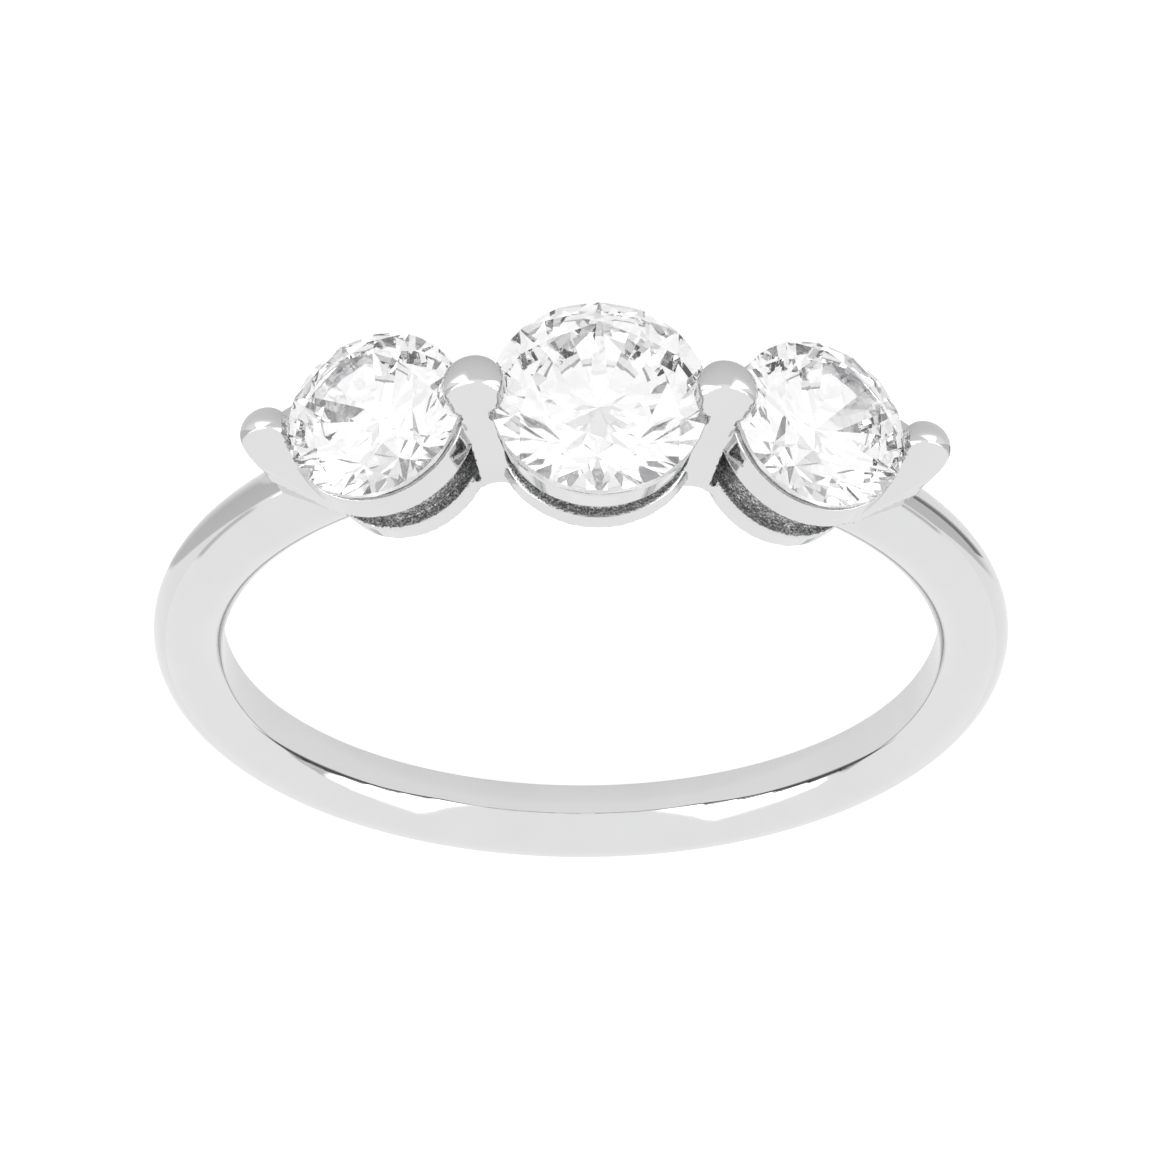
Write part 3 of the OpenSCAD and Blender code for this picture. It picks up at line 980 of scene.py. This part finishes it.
# %% Write one panel of the tent as a group
panel = bpy.data.node_groups.new("tent_panel", "ShaderNodeTree")
for name in ("Azimuth", "Elevation", "Middle", "Height", "Half Width", "Half Height", "Gable",
             "Softness"):
    panel.interface.new_socket(name, in_out="INPUT", socket_type="NodeSocketFloat")
panel.interface.new_socket("Mask", in_out="OUTPUT", socket_type="NodeSocketFloat")
given = panel.nodes.new("NodeGroupInput").outputs
rise = maths(panel, "SUBTRACT", given["Elevation"], given["Height"])
across = maths(panel, "ABSOLUTE", maths(panel, "SUBTRACT", given["Azimuth"], given["Middle"]))
tall = maths(panel, "SUBTRACT", given["Half Height"],
             maths(panel, "MULTIPLY", across, given["Gable"]))
masks = []
for offset, half in ((across, given["Half Width"]),
                     (maths(panel, "ABSOLUTE", rise), tall)):
    inside = maths(panel, "DIVIDE", maths(panel, "SUBTRACT", half, offset), given["Softness"])
    masks.append(maths(panel, "ADD", inside, 0.5, clamp=True))
out = panel.nodes.new("NodeGroupOutput")
panel.links.new(maths(panel, "MULTIPLY", *masks), out.inputs["Mask"])
print("panel group:", len(panel.nodes), "nodes")


# %% Hang panels in a material
def degrees_round(tree, x, y):
    """The angle round the ring from its head, in degrees."""
    angle = maths(tree, "ARCTAN2", x, maths(tree, "MULTIPLY", y, -1))
    return maths(tree, "MULTIPLY", angle, DEGREES)


def hang(tree, azimuth, elevation, level, rows):
    """Add or take light in panels; a row is name, change and the sizes in degrees."""
    for name, change, *sizes in rows:
        hung = new_node(tree, "ShaderNodeGroup")
        hung.node_tree, hung.label = panel, name
        tree.links.new(azimuth, hung.inputs["Azimuth"])
        tree.links.new(elevation, hung.inputs["Elevation"])
        for key, value in zip(("Middle", "Height", "Half Width", "Half Height", "Gable",
                               "Softness"), sizes):
            hung.inputs[key].default_value = value
        level = maths(tree, "ADD", level, maths(tree, "MULTIPLY", hung.outputs["Mask"], change))
    return level


print("panel helpers:", degrees_round.__name__, hang.__name__)

# %% Lay the table
TABLE_SIZE, TABLE_GREY, TABLE_ROUGH, TABLE_SEEN = 4, (0.4, 0.4, 0.4, 1), 0.7, 0.85
TABLE_LEVEL, RING_HALF = 0.6, 2.5 * MM
# what the ring mirrors in the table: name, change of light, then in degrees, as seen from
# the ring: middle, height, half sizes, gable and softness
TABLE_PANELS = [
    ("glow_left", 1.3, 34, -4, 11, 4, 0, 2),
    ("glow_right", 1.3, -34, -4, 11, 4, 0, 2),
    ("claw_shade", -0.2, 0, -12.5, 60, 3.5, 0, 2),
    ("middle_shade", -0.2, 0, -6, 20, 3, 0, 2),
    ("left_shade", -0.36, 76, -7.5, 15, 6, 0, 2),
    ("right_shade", -0.36, -76, -6.8, 15, 4.2, 0, 2),
    ("right_line", -0.65, -73, -11.4, 11, 0.7, 0, 0.6),
]
bpy.ops.mesh.primitive_plane_add(size=TABLE_SIZE, location=(0, 0, 0))
floor = bpy.context.object
floor.name = "light_table"
table = bpy.data.materials.new("light_table")
table.use_nodes = True
tree = table.node_tree
axes = new_node(tree, "ShaderNodeSeparateXYZ",
                Vector=tree.nodes.new("ShaderNodeTexCoord").outputs["Object"]).outputs
far = length_of(tree, axes["X"], axes["Y"])
azimuth = degrees_round(tree, axes["X"], axes["Y"])
elevation = maths(tree, "MULTIPLY", maths(tree, "ARCTAN2", RING_HALF, far), -DEGREES)
glow = hang(tree, azimuth, elevation, TABLE_LEVEL, TABLE_PANELS)
seen = tree.nodes.new("ShaderNodeMix")
tree.links.new(tree.nodes.new("ShaderNodeLightPath").outputs["Is Camera Ray"],
               seen.inputs["Factor"])
tree.links.new(glow, seen.inputs["A"])
seen.inputs["B"].default_value = TABLE_SEEN
shader = tree.nodes["Principled BSDF"]
shader.inputs["Base Color"].default_value = TABLE_GREY
shader.inputs["Roughness"].default_value = TABLE_ROUGH
shader.inputs["Specular IOR Level"].default_value = 0
shader.inputs["Emission Strength"].default_value = 1
tree.links.new(seen.outputs[0], shader.inputs["Emission Color"])
floor.data.materials.append(table)
print("table", floor.dimensions[:])

# %% Hang the cloth, windows and cards
world = bpy.data.worlds.new("light_tent")
bpy.context.scene.world = world
world.use_nodes = True
tree = world.node_tree
axes = new_node(tree, "ShaderNodeSeparateXYZ",
                Vector=tree.nodes.new("ShaderNodeTexCoord").outputs["Generated"]).outputs
azimuth = degrees_round(tree, axes["X"], axes["Y"])
elevation = maths(tree, "MULTIPLY", maths(tree, "ARCSINE", axes["Z"]), DEGREES)

TENT_LEVEL = 1.1
# name, change of light, then in degrees: middle, height, half sizes, gable and softness
PANELS = [
    ("window_left", 1.3, 47, 4, 39, 12, 0.28, 2),
    ("window_right", 1.3, -52, 4, 34, 10, 0.28, 2),
    ("card_left", -0.4, 105, 0, 12, 7, 0, 3),
    ("card_right", -0.42, -92, 0, 9, 6, 0, 3),
]
background = tree.nodes["Background"]
tree.links.new(hang(tree, azimuth, elevation, TENT_LEVEL, PANELS), background.inputs["Color"])
background.inputs["Strength"].default_value = 1
print("tent level", TENT_LEVEL, "with", [p[0] for p in PANELS])

# %% [markdown]
# ## How the picture is developed
# Light crosses a cut stone many times before it leaves, so short light paths would turn facets
# black that are bright on the real stone. The plain colour transform keeps white white.

# %% Set the light paths and colours
BOUNCES = 20
scene = bpy.context.scene
scene.view_settings.view_transform = "Standard"
scene.cycles.max_bounces = BOUNCES
scene.cycles.glossy_bounces = BOUNCES
scene.cycles.transmission_bounces = BOUNCES
print("view transform", scene.view_settings.view_transform, "bounces", BOUNCES)
